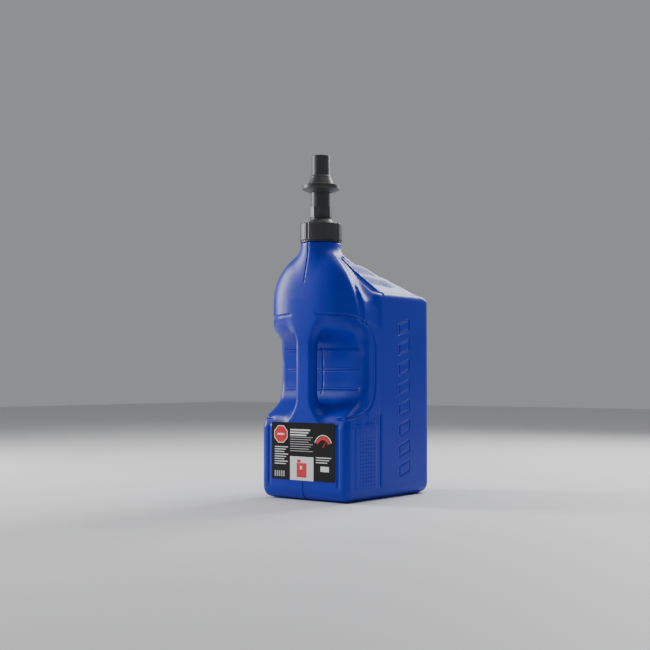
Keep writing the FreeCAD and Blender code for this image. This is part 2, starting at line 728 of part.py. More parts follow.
def make_nozzle():
    """Nose tube with its sleeve, push flange, band and seal."""
    seal_low = sleeve_bottom + 6
    seal_high = seal_low + seal_wire + 0.4
    groove = sleeve_radius - seal_wire + ring_clearance * 2
    nose_foot = cone_top + flange_band_height + 0.6
    node(turned("nose", ((sleeve_bore_radius, sleeve_bottom), (sleeve_radius, sleeve_bottom),
                         (sleeve_radius, seal_low), (groove, seal_low), (groove, seal_high),
                         (sleeve_radius, seal_high), (sleeve_radius, cone_top - 1.5),
                         (nozzle_seat_radius, cone_top - 1.5), (nozzle_seat_radius, nose_foot),
                         (nozzle_radius, nose_foot), (nozzle_radius, nozzle_top - 1.2),
                         (nozzle_radius - 1.2, nozzle_top), (tip_bore_radius, nozzle_top),
                         (tip_bore_radius, nozzle_top - tip_land - 1),
                         (nozzle_bore_radius, nozzle_top - tip_land - 3),
                         (nozzle_bore_radius, cone_top + 2), (sleeve_bore_radius, cone_top))), "nozzle_tube")
    node(turned("push", ((cup_radius, push_bottom), (cup_radius + 0.8, push_bottom),
                         (push_radius - 0.6, push_rim_bottom - 0.3), (push_radius, push_rim_bottom + 0.4),
                         (push_radius, push_rim_top - 0.6), (push_radius - 0.6, push_rim_top),
                         (cone_foot_radius, push_rim_top), (cone_top_radius, cone_top),
                         (nozzle_seat_radius, cone_top), (nozzle_seat_radius, cone_top - 1.5),
                         (sleeve_radius, cone_top - 1.5), (sleeve_radius, cup_ceiling),
                         (cup_radius, cup_ceiling))), "push_flange")
    node(turned("band", ((nozzle_seat_radius, cone_top), (cone_top_radius, cone_top),
                         (cone_top_radius, cone_top + 1.6),
                         (nozzle_radius + flange_band_wall, cone_top + 2.2),
                         (nozzle_radius + 0.5, cone_top + flange_band_height),
                         (nozzle_seat_radius, cone_top + flange_band_height))), "flange_band")
    o_ring("sleeve_seal", barrel_bore_radius - ring_clearance - seal_wire / 2,
           (seal_low + seal_high) / 2, seal_wire)
    node(turned("cup", ((sleeve_bore_radius, sleeve_bottom - spring_seat_height),
                        (sleeve_radius, sleeve_bottom - spring_seat_height), (sleeve_radius, sleeve_bottom),
                        (sleeve_bore_radius, sleeve_bottom))), "spring_cup")


def make_spring():
    """The return spring between its two seats."""
    low = float(seat_high) + float(spring_wire) / 2
    high = float(sleeve_bottom) - float(spring_seat_height) - float(spring_wire) / 2
    turns = float(spring_turns)
    helix = Part.makeHelix((high - low) / turns, high - low, float(spring_radius))
    start = V(float(spring_radius), 0, 0)
    wire = Part.Wire(Part.makeCircle(float(spring_wire) / 2, start, V(0, 1, 0)))
    coil = Part.Wire(helix).makePipeShell([wire], True, True)
    coil.translate(V(0, float(neck_y), low))
    spring = doc.addObject("Part::Feature", "return_spring")
    spring.Shape = coil
    return node(spring, "return_spring")


make_jug()
make_label()
make_ratchet_band()
make_cap()
make_spout_base()
make_stem()
make_nozzle()
make_spring()
doc.recompute()

for obj in doc.Objects:
    if "Invalid" in obj.State or "Error" in obj.State:
        raise RuntimeError(f"{obj.Label} failed: {obj.State}")
os.makedirs("parts", exist_ok=True)
for obj in nodes:
    if obj.Shape.isNull() or not obj.Shape.isValid():
        raise RuntimeError(f"{obj.Label} has no valid shape")
    obj.Shape.exportStep(f"parts/{obj.Label}.step")
    print(obj.Label, len(obj.Shape.Solids), round(obj.Shape.Volume), obj.Shape.BoundBox)
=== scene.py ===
"""Looks of the blow-moulded fuel jug: its skin, label, nozzle finishes, light and camera.

The CAD frame gives every place. Lengths in the classes are millimetres unless a name says otherwise,
and meshes are written in metres.
"""
import logging
import math
from collections.abc import Callable
from dataclasses import dataclass
from enum import Enum

import bmesh
import bpy
import numpy as np
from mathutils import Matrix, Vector

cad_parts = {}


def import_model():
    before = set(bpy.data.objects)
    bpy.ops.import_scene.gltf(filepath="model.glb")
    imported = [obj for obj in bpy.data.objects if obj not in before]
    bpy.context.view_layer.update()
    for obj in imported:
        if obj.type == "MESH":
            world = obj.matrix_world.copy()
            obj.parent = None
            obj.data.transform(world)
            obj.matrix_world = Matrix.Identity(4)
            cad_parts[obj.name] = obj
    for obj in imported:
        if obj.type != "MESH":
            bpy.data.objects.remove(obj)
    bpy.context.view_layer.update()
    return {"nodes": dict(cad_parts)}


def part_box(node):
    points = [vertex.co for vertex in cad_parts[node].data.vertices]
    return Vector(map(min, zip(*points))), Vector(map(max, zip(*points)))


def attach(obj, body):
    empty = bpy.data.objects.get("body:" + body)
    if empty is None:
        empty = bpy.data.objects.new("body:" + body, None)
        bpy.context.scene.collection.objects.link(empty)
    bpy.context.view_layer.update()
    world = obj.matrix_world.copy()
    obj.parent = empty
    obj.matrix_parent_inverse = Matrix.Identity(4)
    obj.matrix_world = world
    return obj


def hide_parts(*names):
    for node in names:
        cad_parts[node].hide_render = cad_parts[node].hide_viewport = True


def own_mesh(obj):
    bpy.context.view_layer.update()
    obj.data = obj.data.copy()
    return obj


LOG = logging.getLogger("fuel_jug")
MM = 0.001
Array = np.ndarray
Field = Callable[[Array, Array, Array], Array]


class Slot(Enum):
    """Material slots of the record, passed along with the modelled pieces."""

    BLUE = "blue_polyethylene"
    LABEL = "printed_label"
    STEEL = "spring_steel"


# ------------------------------------------------------------------ shader groups and finishes

def make_group(name: str, inputs: dict[str, float], outputs: dict[str, str]) -> bpy.types.NodeTree:
    """An empty shader node group.

    Args:
        name: the group's name.
        inputs: each value input and its default.
        outputs: each output and its socket type.

    Returns:
        The group, with its Group Input and Group Output nodes named IN and OUT.
    """
    group = bpy.data.node_groups.new(name, "ShaderNodeTree")
    for label, default in inputs.items():
        socket = group.interface.new_socket(label, in_out="INPUT", socket_type="NodeSocketFloat")
        socket.default_value = default
    for label, kind in outputs.items():
        group.interface.new_socket(label, in_out="OUTPUT", socket_type=kind)
    group.nodes.new("NodeGroupInput").name = "IN"
    group.nodes.new("NodeGroupOutput").name = "OUT"
    return group


def grain_group() -> bpy.types.NodeTree:
    """Moulded-plastic grain: a fine bump, and slow patches that vary colour and gloss.

    Returns:
        The group, with the outputs Normal, Patch and Gloss.
    """
    group = make_group("moulded_grain",
                       {"Grain Scale": 1500.0, "Grain Depth": 0.1, "Patch Scale": 9.0, "Gloss": 0.4},
                       {"Normal": "NodeSocketVector", "Patch": "NodeSocketFloat", "Gloss": "NodeSocketFloat"})
    nodes, links = group.nodes, group.links
    place = nodes.new("ShaderNodeTexCoord")
    fine = nodes.new("ShaderNodeTexNoise")
    fine.inputs["Detail"].default_value = 3.0
    links.new(place.outputs["Object"], fine.inputs["Vector"])
    links.new(nodes["IN"].outputs["Grain Scale"], fine.inputs["Scale"])
    bump = nodes.new("ShaderNodeBump")
    bump.inputs["Distance"].default_value = 0.0002
    links.new(nodes["IN"].outputs["Grain Depth"], bump.inputs["Strength"])
    links.new(fine.outputs["Fac"], bump.inputs["Height"])
    slow = nodes.new("ShaderNodeTexNoise")
    slow.inputs["Detail"].default_value = 4.0
    links.new(place.outputs["Object"], slow.inputs["Vector"])
    links.new(nodes["IN"].outputs["Patch Scale"], slow.inputs["Scale"])
    spread = nodes.new("ShaderNodeMapRange")
    spread.inputs["From Min"].default_value = 0.3
    spread.inputs["From Max"].default_value = 0.7
    links.new(slow.outputs["Fac"], spread.inputs["Value"])
    drift = nodes.new("ShaderNodeMath")
    drift.operation = "MULTIPLY_ADD"
    drift.inputs[1].default_value = 0.07
    links.new(spread.outputs["Result"], drift.inputs[0])
    links.new(nodes["IN"].outputs["Gloss"], drift.inputs[2])
    links.new(bump.outputs["Normal"], nodes["OUT"].inputs["Normal"])
    links.new(spread.outputs["Result"], nodes["OUT"].inputs["Patch"])
    links.new(drift.outputs["Value"], nodes["OUT"].inputs["Gloss"])
    return group


@dataclass(frozen=True)
class Finish:
    """One moulded, printed or metal finish.

    The two colours are the ends of the slow patches; gloss is the lowest roughness.
    """

    name: str
    colour: tuple[float, float, float]
    patch_colour: tuple[float, float, float]
    gloss: float
    metallic: float = 0.0
    coat: float = 0.0
    sheen_ior: float = 1.5
    grain_scale: float = 1500.0
    grain_depth: float = 0.1

    def material(self, grain: bpy.types.NodeTree) -> bpy.types.Material:
        """Build the finish.

        Args:
            grain: the shared grain group.

        Returns:
            A node material.
        """
        material = bpy.data.materials.new(self.name)
        material.use_nodes = True
        nodes, links = material.node_tree.nodes, material.node_tree.links
        shader = nodes["Principled BSDF"]
        shader.inputs["Metallic"].default_value = self.metallic
        shader.inputs["IOR"].default_value = self.sheen_ior
        shader.inputs["Coat Weight"].default_value = self.coat
        shader.inputs["Coat Roughness"].default_value = 0.12
        effect = nodes.new("ShaderNodeGroup")
        effect.node_tree = grain
        effect.inputs["Grain Scale"].default_value = self.grain_scale
        effect.inputs["Grain Depth"].default_value = self.grain_depth
        effect.inputs["Gloss"].default_value = self.gloss
        blend = nodes.new("ShaderNodeMix")
        blend.data_type = "RGBA"
        blend.inputs["A"].default_value = (*self.colour, 1.0)
        blend.inputs["B"].default_value = (*self.patch_colour, 1.0)
        links.new(effect.outputs["Patch"], blend.inputs["Factor"])
        links.new(blend.outputs["Result"], shader.inputs["Base Color"])
        links.new(effect.outputs["Gloss"], shader.inputs["Roughness"])
        links.new(effect.outputs["Normal"], shader.inputs["Normal"])
        return material


FINISHES = {
    "blue": Finish("blue_polyethylene", (0.003, 0.017, 0.40), (0.004, 0.021, 0.45), 0.32, sheen_ior=1.36,
                   grain_depth=0.16),
    "black": Finish("black_plastic", (0.036, 0.036, 0.038), (0.046, 0.046, 0.048), 0.38, grain_depth=0.12),
    "black_satin": Finish("black_plastic_satin", (0.032, 0.032, 0.034), (0.042, 0.042, 0.044), 0.42),
    "rubber": Finish("black_rubber", (0.012, 0.012, 0.012), (0.02, 0.02, 0.02), 0.7, grain_depth=0.3),
    "steel": Finish("spring_steel", (0.56, 0.56, 0.58), (0.62, 0.62, 0.63), 0.25, metallic=1.0),
    "print_black": Finish("label_black", (0.006, 0.006, 0.006), (0.008, 0.008, 0.008), 0.26, sheen_ior=1.35),
    "print_white": Finish("label_white", (0.85, 0.85, 0.85), (0.9, 0.9, 0.9), 0.3),
    "print_red": Finish("label_red", (0.72, 0.01, 0.02), (0.8, 0.015, 0.03), 0.25, coat=0.2),
    "print_grey": Finish("label_grey", (0.42, 0.42, 0.42), (0.5, 0.5, 0.5), 0.3),
}


class Paint:
    """Hands out the finishes, each one built once."""

    def __init__(self) -> None:
        """Build the shared grain group."""
        self.grain = grain_group()
        self.built: dict[str, bpy.types.Material] = {}

    def give(self, name: str) -> bpy.types.Material:
        """The finish of that name.

        Args:
            name: a key of FINISHES.

        Returns:
            The material.
        """
        if name not in self.built:
            self.built[name] = FINISHES[name].material(self.grain)
        return self.built[name]

    def cover(self, piece: bpy.types.Object, name: str) -> None:
        """Put one finish all over a piece.

        Args:
            piece: the piece.
            name: a key of FINISHES.
        """
        piece.data.materials.clear()
        piece.data.materials.append(self.give(name))


# ------------------------------------------------------------------ distance fields

def smooth_max(a: Array, b: Array, reach: float) -> Array:
    """The larger of two fields, rounded where they meet within reach.

    Args:
        a: one field.
        b: the other field.
        reach: width of the rounded zone.

    Returns:
        The joined field.
    """
    near = np.maximum(reach - np.abs(a - b), 0.0) / reach
    return np.maximum(a, b) + near * near * reach / 4


def smooth_min(a: Array, b: Array, reach: float) -> Array:
    """The smaller of two fields, filleted where they meet within reach.

    Args:
        a: one field.
        b: the other field.
        reach: width of the filleted zone.

    Returns:
        The joined field.
    """
    return -smooth_max(-a, -b, reach)


def rounded_rectangle(u: Array, v: Array, half_u: float, half_v: float, radius: float) -> Array:
    """Distance to a rounded rectangle about the origin of a plane.

    Args:
        u: first coordinate.
        v: second coordinate.
        half_u: half the size along u.
        half_v: half the size along v.
        radius: corner radius.

    Returns:
        Distances, negative inside.
    """
    du = np.abs(u) - half_u + radius
    dv = np.abs(v) - half_v + radius
    outside = np.hypot(np.maximum(du, 0), np.maximum(dv, 0))
    return outside + np.minimum(np.maximum(du, dv), 0) - radius


def ramp(value: Array, start: float, end: float) -> Array:
    """Zero before start, one after end, and smooth between them.

    Args:
        value: what is tested.
        start: where the ramp begins.
        end: where it is complete.

    Returns:
        Numbers from 0 to 1.
    """
    part = np.clip((value - start) / (end - start), 0, 1)
    return part * part * (3 - 2 * part)


def bump(distance: Array, half_width: float) -> Array:
    """One at a line and zero beyond half_width from it.

    Args:
        distance: distance from the line.
        half_width: half the width of the bump.

    Returns:
        Numbers from 0 to 1.
    """
    return 1 - ramp(np.abs(distance), half_width * 0.25, half_width)


def segment_distance(u: Array, v: Array, start: tuple[float, float], end: tuple[float, float]) -> Array:
    """Distance in a plane to a straight line from start to end.

    Args:
        u: first coordinate.
        v: second coordinate.
        start: one end of the line.
        end: the other end.

    Returns:
        Distances.
    """
    du, dv = end[0] - start[0], end[1] - start[1]
    part = np.clip(((u - start[0]) * du + (v - start[1]) * dv) / (du * du + dv * dv), 0, 1)
    return np.hypot(u - start[0] - part * du, v - start[1] - part * dv)


@dataclass
class JugForm:
    """The jug's outside as a distance field, in millimetres in the part's frame.

    Heights are above the floor and depths run back from the front face, unless a name says otherwise.
    Every method takes the coordinates of some places as arrays and returns the field there, which is
    negative inside the form that the method describes.
    """

    half_width: float
    front: float
    back: float
    axis_y: float
    neck_top: float
    half_front: float = 101.2
    half_head: float = 99.5
    front_corner: float = 11.5
    rear_depth: float = 166.0
    eave: float = 379.0
    corner: float = 19.0
    foot: float = 24.0
    shoulder: float = 363.0
    dome_height: float = 102.0
    dome_back: float = 130.0
    ledge: float = 149.0
    wall_depth: float = 59.5
    wall_low: float = 188.0
    wall_high: float = 285.0
    brow: float = 319.0
    side_depth: float = 84.0
    handle_half: float = 20.5
    handle_depth: float = 22.5
    neck_radius: float = 37.8
    roof_side: float = 96.5
    roof_top: float = 448.0
    roof_front: float = 60.0
    roof_pitch: float = 1.2
    head_blunt: float = 2.7
    dome_blunt: float = 2.05
    wall: float = 5.0
    bore: float = 30.5
    groove_heights: tuple[float, ...] = (202.0, 238.0, 274.0)
    step_lines: tuple[float, ...] = (48.0, 63.0, 80.0)

    @property
    def ridge_x(self) -> float:
        """Half the width of the roof's flat top."""
        return self.roof_side - (self.roof_top - self.eave) / self.roof_pitch

    def rear_block(self, x: Array, y: Array, z: Array) -> Array:
        """The full-width block behind the handle."""
        start = self.back - self.rear_depth - 16
        middle, half = (self.back + start - 40) / 2, (self.back - start + 40) / 2
        form = rounded_rectangle(x, y - middle, self.half_width, half, self.corner)
        form = smooth_max(form, start - y, 20)
        form = smooth_max(form, -z, self.foot)
        form = smooth_max(form, z - self.eave, 8)
        return np.maximum(form, smooth_max(y - self.back, z - self.eave, 34))

    def base_block(self, x: Array, y: Array, z: Array) -> Array:
        """The block under the handle, that carries the label."""
        length = self.back - self.front - 40
        waist = 1.8 * ramp(z, 134, 138)
        form = rounded_rectangle(x, y - self.front - length / 2, self.half_front, length / 2, self.front_corner)
        return smooth_max(smooth_max(form + waist, -z, self.foot), z - 200, 8)

    def head(self, x: Array, y: Array, z: Array) -> Array:
        """The round-fronted head and its dome."""
        def level(px: Array, py: Array, pz: Array) -> Array:
            depth = np.where(py < self.axis_y, self.axis_y - self.front, self.dome_back)
            blunt, dome_blunt = self.head_blunt, self.dome_blunt
            across = (np.abs(px) / self.half_head) ** blunt + (np.abs(py - self.axis_y) / depth) ** blunt
            across = np.maximum(across, 1e-9) ** (1 / blunt)
            up = np.maximum(pz - self.shoulder, 0) / self.dome_height
            return (across ** dome_blunt + up ** dome_blunt) ** (1 / dome_blunt) - 1

        here = level(x, y, z)
        step = 0.5
        slope = np.sqrt((level(x + step, y, z) - here) ** 2 + (level(x, y + step, z) - here) ** 2
                        + (level(x, y, z + step) - here) ** 2) / step
        return np.maximum(here / np.maximum(slope, 0.004), 120 - z)

    def shoulder_block(self, x: Array, y: Array, z: Array) -> Array:
        """The straight sides between the head and the rear block."""
        end = self.back - self.rear_depth + 20
        middle, half = (self.axis_y + end) / 2, (end - self.axis_y) / 2
        form = rounded_rectangle(x, y - middle, self.half_head, half, 2)
        form = smooth_max(form, z - self.shoulder - 9, 26)
        return np.maximum(smooth_max(form, self.cheek(x, y, z), 10), 120 - z)

    def middle_block(self, x: Array, y: Array, z: Array) -> Array:
        """The full-width block behind the hand recess, with its slanted top line."""
        start, end = self.front + self.wall_depth, self.back - self.rear_depth + 20
        form = rounded_rectangle(x, y - (start + end) / 2, self.half_front, (end - start) / 2, 1)
        return np.maximum(smooth_max(form, z - 325 + 0.2 * (y - start), 5), 120 - z)

    def cheek(self, x: Array, y: Array, z: Array) -> Array:
        """The slope from the roof's front edge down to the head's sides."""
        behind = y - self.axis_y
        edge = np.array([self.roof_side - self.ridge_x, self.roof_front, self.eave - self.roof_top])
        flat = np.array([edge[1], -edge[0], 0]) / np.hypot(edge[0], edge[1])
        rise = -np.cross(edge / np.linalg.norm(edge), flat)
        lean = math.radians(40)
        normal = math.cos(lean) * flat + math.sin(lean) * rise
        level = (np.abs(x) - self.ridge_x) * normal[0] + behind * normal[1] + (z - self.roof_top) * normal[2]
        return level - np.maximum(24 - behind, 0) ** 2 / 60

    def slopes(self, x: Array, y: Array, z: Array) -> Array:
        """The roof's two sides and its back."""
        rise = self.roof_top - self.eave
        back_foot = self.back - 24
        back_slope = rise / (back_foot - self.axis_y - 24)
        side = ((np.abs(x) - self.roof_side) * self.roof_pitch + z - self.eave) / math.hypot(self.roof_pitch, 1)
        rear = ((y - back_foot) * back_slope + z - self.eave) / math.hypot(back_slope, 1)
        return smooth_max(side, rear, 4)

    def roof(self, x: Array, y: Array, z: Array) -> Array:
        """The hipped roof from the neck to the eaves."""
        form = smooth_max(self.slopes(x, y, z), self.cheek(x, y, z), 2)
        under = np.maximum(np.abs(x) - self.roof_side, y - self.back + 24)
        form = np.where(z < self.eave, np.maximum(form, under), form)
        form = np.maximum(form, self.axis_y - 5 - y)
        return np.maximum(np.maximum(form, z - self.roof_top), self.eave - 60 - z)

    def mouth(self, y: Array, z: Array) -> Array:
        """The line drawn round the hand recess on the jug's sides: negative inside it."""
        floor = self.ledge + 0.19 * (y - self.front) - z
        ceiling = z - (337 - 0.2 * (y - self.front))
        form = smooth_max(y - self.front - self.side_depth, floor, 52)
        return smooth_max(form, ceiling, 60)

    def past_recess(self, y: Array, z: Array) -> Array:
        """What stays behind, under and over the hand recess."""
        wall = self.front + self.wall_depth - y
        rise = (self.wall_low - self.ledge) / self.wall_depth
        floor = (z - self.ledge - rise * (y - self.front)) / math.hypot(rise, 1)
        drop = (self.brow - self.wall_high) / self.wall_depth
        ceiling = (self.brow - drop * (y - self.front) - z) / math.hypot(drop, 1)
        return smooth_min(smooth_min(wall, floor, 26), ceiling, 26)

    def column(self, x: Array, y: Array, z: Array) -> Array:
        """The handle column between the base and the head."""
        middle = self.front + self.handle_depth / 2
        form = rounded_rectangle(x, y - middle, self.handle_half, self.handle_depth / 2, 9.5)
        return np.maximum(np.maximum(form, 130 - z), z - 350)

    def relief(self, x: Array, y: Array, z: Array) -> Array:
        """Small ridges and grooves: what is added to the field, positive where the skin sinks."""
        aside = np.abs(x)
        side = ramp(aside, 70, 84)
        rear_edge = self.back - self.rear_depth
        below_roof = 1 - ramp(z, self.eave - 30, self.eave - 12)
        mouth = self.mouth(y, z)
        brow = np.maximum(side, ramp(aside, 24, 36) * ramp(z, 300, 314))
        near_mouth = brow * ramp(mouth, -4, 0) * (1 - ramp(y, rear_edge - 1, rear_edge + 3)) * below_roof
        sink = near_mouth * (1.8 * bump(mouth - 1.5, 3.4) - 0.9 * bump(mouth + 3.5, 3.2))
        # upright groove in front of the rear block
        low_part = ramp(z, 20, 30) * (1 - ramp(z, 150, 165))
        sink = sink + 2.2 * side * low_part * bump(y - rear_edge + 3.5, 3.4)
        # raised side panel round the dots
        panel = rounded_rectangle(y - self.axis_y - 4.5, z - 79, 32.5, 58, 6)
        panel = np.maximum(panel, 9.5 - mouth)
        sink = sink - 0.8 * side * (1 - ramp(panel, -1.6, 0.4))
        # soft uprights beside the label
        fore = 1 - ramp(y, self.front + 1, self.front + 12)
        label_zone = ramp(z, 22, 34) * (1 - ramp(z, 130, 142))
        sink = sink + 1.4 * fore * label_zone * bump(aside - 80.5, 4.2)
        # double grooves across the back wall of the recess
        wall_y = self.front + self.wall_depth
        on_wall = (1 - ramp(np.abs(y - wall_y), 4, 7)) * (1 - ramp(aside, 84, 87))
        for height in self.groove_heights:
            sink = sink + on_wall * (0.9 * bump(z - height - 2.2, 1.5) + 0.9 * bump(z - height + 2.2, 1.5)
                                     - 0.7 * bump(z - height, 1.5))
        # mould parting line
        fore_neck = (1 - ramp(y, self.axis_y - 8, self.axis_y)) * ramp(z, 396, 400)
        on_base = 2.2 * (1 - ramp(z, 30, 37)) * (1 - ramp(y, self.front + 20, self.front + 40))
        in_recess = on_wall * ramp(z, 184, 188) * (1 - ramp(z, 284, 288))
        part = np.maximum(np.maximum(fore_neck, on_base), in_recess)
        part = np.maximum(part, ramp(y, self.back - 30, self.back - 26))
        sink = sink + 0.9 * part * bump(x, 1.6)
        return sink + self.roof_relief(x, y, z) + self.side_mark(x, y, z)

    def roof_relief(self, x: Array, y: Array, z: Array) -> Array:
        """Three steps on each roof side, and the ridges along their front edge."""
        aside = np.abs(x)
        on_roof = ramp(z, self.eave - 4, self.eave + 2) * (1 - ramp(z, self.roof_top - 5, self.roof_top + 1))
        slant = (self.roof_side - self.ridge_x) / self.roof_front
        past = (aside - self.ridge_x - slant * (y - self.axis_y)) / math.hypot(slant, 1)
        near = ramp(self.roof(x, y, z), -6, -3) * ramp(y, self.axis_y - 2, self.axis_y + 3)
        sink = on_roof * near * (0.7 * bump(past - 6, 4.5) - 1.2 * bump(past - 0.5, 2.6))
        low_end = ramp(y, self.axis_y + 22, self.axis_y + 50)
        sink = sink - 0.8 * low_end * near * ramp(z, self.eave - 24, self.eave - 14) * bump(past - 14, 6)
        facet = on_roof * near * ramp(-past, 1, 4)
        for step in self.step_lines:
            start = self.axis_y + (step - self.ridge_x) / slant
            fade = 1 - ramp(y, start + 42, start + 88)
            drop = aside - step - 0.05 * (y - start)
            sink = sink + 3.4 * facet * fade * ramp(drop, -13, -0.6) * (1 - ramp(drop, -0.6, 1.0))
        return sink

    def side_mark(self, x: Array, y: Array, z: Array) -> Array:
        """A plain column of slanted frames engraved up each side of the rear block."""
        on_side = ramp(np.abs(x), self.half_width - 6, self.half_width - 3)
        sink = np.zeros_like(x)
        middle = self.axis_y + 130
        for index in range(8):
            low = 38 + index * 38
            lean = 10
            corners = ((middle - 20, low), (middle + 12, low + lean), (middle + 12, low + lean + 19),
                       (middle - 20, low + 19))
            for here in range(4):
                distance = segment_distance(y, z, corners[here], corners[(here + 1) % 4])
                sink = np.maximum(sink, bump(distance, 2.1))
        return 1.3 * on_side * sink

    def outside(self, x: Array, y: Array, z: Array) -> Array:
        """The whole skin without its small relief."""
        uncut = np.minimum(self.rear_block(x, y, z), self.base_block(x, y, z))
        head = smooth_max(self.head(x, y, z), self.cheek(x, y, z), 34)
        under_roof = np.where(z > self.eave - 20, self.slopes(x, y, z), -60) + 1.5
        head = smooth_max(head, under_roof - 1.2 * np.maximum(self.axis_y + 22 - y, 0), 4)
        head = smooth_min(head, self.roof(x, y, z), 4)
        neck = np.maximum(np.hypot(x, y - self.axis_y) - self.neck_radius, 300 - z)
        head = smooth_min(head, neck, 15)
        shoulders = np.minimum(np.minimum(self.shoulder_block(x, y, z), self.middle_block(x, y, z)), uncut)
        uncut = smooth_min(shoulders, head, 6)
        soft = 7 + 9 * (1 - ramp(z, 176, 196)) + 15 * ramp(z, 270, 300)
        cut = smooth_max(uncut, self.past_recess(y, z), soft)
        joined = smooth_min(cut, self.column(x, y, z), 30)
        form = smooth_max(joined, uncut, 1.5)
        box = np.maximum(np.maximum(np.abs(x) - self.half_width, self.front - y),
                         np.maximum(y - self.back, -z))
        form = np.maximum(form, box)
        form = np.maximum(form, z - self.neck_top)
        underside = np.maximum(rounded_rectangle(x, y - (self.front + self.back) / 2, self.half_front - 30,
                                                 (self.back - self.front) / 2 - 30, 19), z - 2.5)
        return smooth_max(form, -underside, 2)

    def field(self, x: Array, y: Array, z: Array) -> Array:
        """The whole skin."""
        return self.outside(x, y, z) + self.relief(x, y, z)

    def fuel_space(self, x: Array, y: Array, z: Array) -> Array:
        """The space inside the jug, open through the neck."""
        bore = np.maximum(np.hypot(x, y - self.axis_y) - self.bore, 425 - z)
        return np.minimum(self.outside(x, y, z) + self.wall, np.maximum(bore, z - self.neck_top - 6))


# ------------------------------------------------------------------ meshes from fields

def net(field: Field, low: Array, high: Array, step: float) -> tuple[Array, Array]:
    """A net of quads over a field's zero surface.

    Args:
        field: the distance field.
        low: lowest corner of the space that is sampled.
        high: highest corner of it.
        step: size of a cell.

    Returns:
        Vertices as (N, 3), and quads as (M, 4) vertex numbers.
    """
    axes = [np.arange(low[a], high[a] + step, step) for a in range(3)]
    grid = np.meshgrid(*axes, indexing="ij")
    value = np.concatenate([field(grid[0][i:i + 12], grid[1][i:i + 12], grid[2][i:i + 12])
                            for i in range(0, len(axes[0]), 12)])
    inside = value < 0
    cells = tuple(n - 1 for n in value.shape)
    total = np.zeros(cells + (3,))
    count = np.zeros(cells)
    for axis in range(3):
        others = [a for a in range(3) if a != axis]
        for shift in ((0, 0), (0, 1), (1, 0), (1, 1)):
            first = [slice(0, cells[a]) for a in range(3)]
            for other, move in zip(others, shift):
                first[other] = slice(move, cells[other] + move)
            second = list(first)
            second[axis] = slice(1, cells[axis] + 1)
            a, b = value[tuple(first)], value[tuple(second)]
            crossing = (a < 0) != (b < 0)
            part = np.where(crossing, a / np.where(crossing, a - b, 1), 0)
            count += crossing
            total[..., axis] += part
            for other, move in zip(others, shift):
                total[..., other] += crossing * move
    used = count > 0
    number = np.full(cells, -1)
    number[used] = np.arange(used.sum())
    corner = np.argwhere(used)
    points = low + step * (corner + total[used] / count[used][:, None])
    quads = []
    for axis in range(3):
        b, c = (axis + 1) % 3, (axis + 2) % 3
        here = [slice(1, n - 1) for n in value.shape]
        here[axis] = slice(0, cells[axis])
        there = list(here)
        there[axis] = slice(1, cells[axis] + 1)
        start, end = inside[tuple(here)], inside[tuple(there)]
        for wanted, order in (((start & ~end), 1), ((~start & end), -1)):
            base = np.argwhere(wanted) + [h.start for h in here]
            ring = []
            for db, dc in ((-1, -1), (0, -1), (0, 0), (-1, 0))[::order]:
                cell = base.copy()
                cell[:, b] += db
                cell[:, c] += dc
                ring.append(number[cell[:, 0], cell[:, 1], cell[:, 2]])
            quads.append(np.stack(ring, axis=1))
    return points, np.concatenate(quads)


def settle(field: Field, points: Array, rounds: int) -> Array:
    """Move points onto the field's zero surface along its slope.

    Args:
        field: the distance field.
        points: the points, as (N, 3).
        rounds: how many times they are moved.

    Returns:
        The moved points.
    """
    points = points.copy()
    reach = 0.15
    for _ in range(rounds):
        x, y, z = points.T
        slope = np.stack([field(x + reach, y, z) - field(x - reach, y, z),
                          field(x, y + reach, z) - field(x, y - reach, z),
                          field(x, y, z + reach) - field(x, y, z - reach)], axis=1) / (2 * reach)
        size = np.maximum((slope ** 2).sum(axis=1), 0.05)
        move = np.clip(field(x, y, z) / size, -1.5, 1.5)
        points -= slope * move[:, None]
    return points


def deselect_all() -> None:
    """Leave nothing selected and no object active."""
    bpy.ops.object.select_all(action="DESELECT")
    bpy.context.view_layer.objects.active = None


def select_only(piece: bpy.types.Object) -> None:
    """Leave one object selected and active.

    Args:
        piece: the object.
    """
    deselect_all()
    piece.select_set(True)
    bpy.context.view_layer.objects.active = piece


def make_piece(name: str, points: Array, faces: list | Array) -> bpy.types.Object:
    """A mesh object from points in millimetres.

    Args:
        name: the object's name.
        points: its vertices, as (N, 3).
        faces: vertex numbers of each face.

    Returns:
        The object, linked to the scene.
    """
    mesh = bpy.data.meshes.new(name)
    rings = faces.tolist() if isinstance(faces, Array) else faces
    mesh.from_pydata((np.asarray(points) * MM).tolist(), [], rings)
    mesh.update()
    piece = bpy.data.objects.new(name, mesh)
    bpy.context.scene.collection.objects.link(piece)
    return piece


def smooth(piece: bpy.types.Object, degrees: float) -> None:
    """Shade a piece smooth, with edges sharper than degrees kept.

    Args:
        piece: the piece.
        degrees: the sharpest angle that is still smoothed.
    """
    select_only(piece)
    bpy.ops.object.shade_smooth_by_angle(angle=math.radians(degrees))


def apply_modifier(piece: bpy.types.Object, kind: str, **settings: object) -> None:
    """Add a modifier to a piece, set it and apply it.

    Args:
        piece: the piece.
        kind: the modifier's type.
        settings: its properties.
    """
    select_only(piece)
    modifier = piece.modifiers.new(kind.lower(), kind)
    for setting, value in settings.items():
        setattr(modifier, setting, value)
    bpy.ops.object.modifier_apply(modifier=modifier.name)


def join(pieces: list[bpy.types.Object], name: str) -> bpy.types.Object:
    """Join pieces into the first one, and name it.

    Args:
        pieces: the pieces.
        name: the name of the result.

    Returns:
        The joined piece.
    """
    deselect_all()
    for piece in pieces:
        piece.select_set(True)
    bpy.context.view_layer.objects.active = pieces[0]
    if len(pieces) > 1:
        bpy.ops.object.join()
    pieces[0].name = name
    return pieces[0]


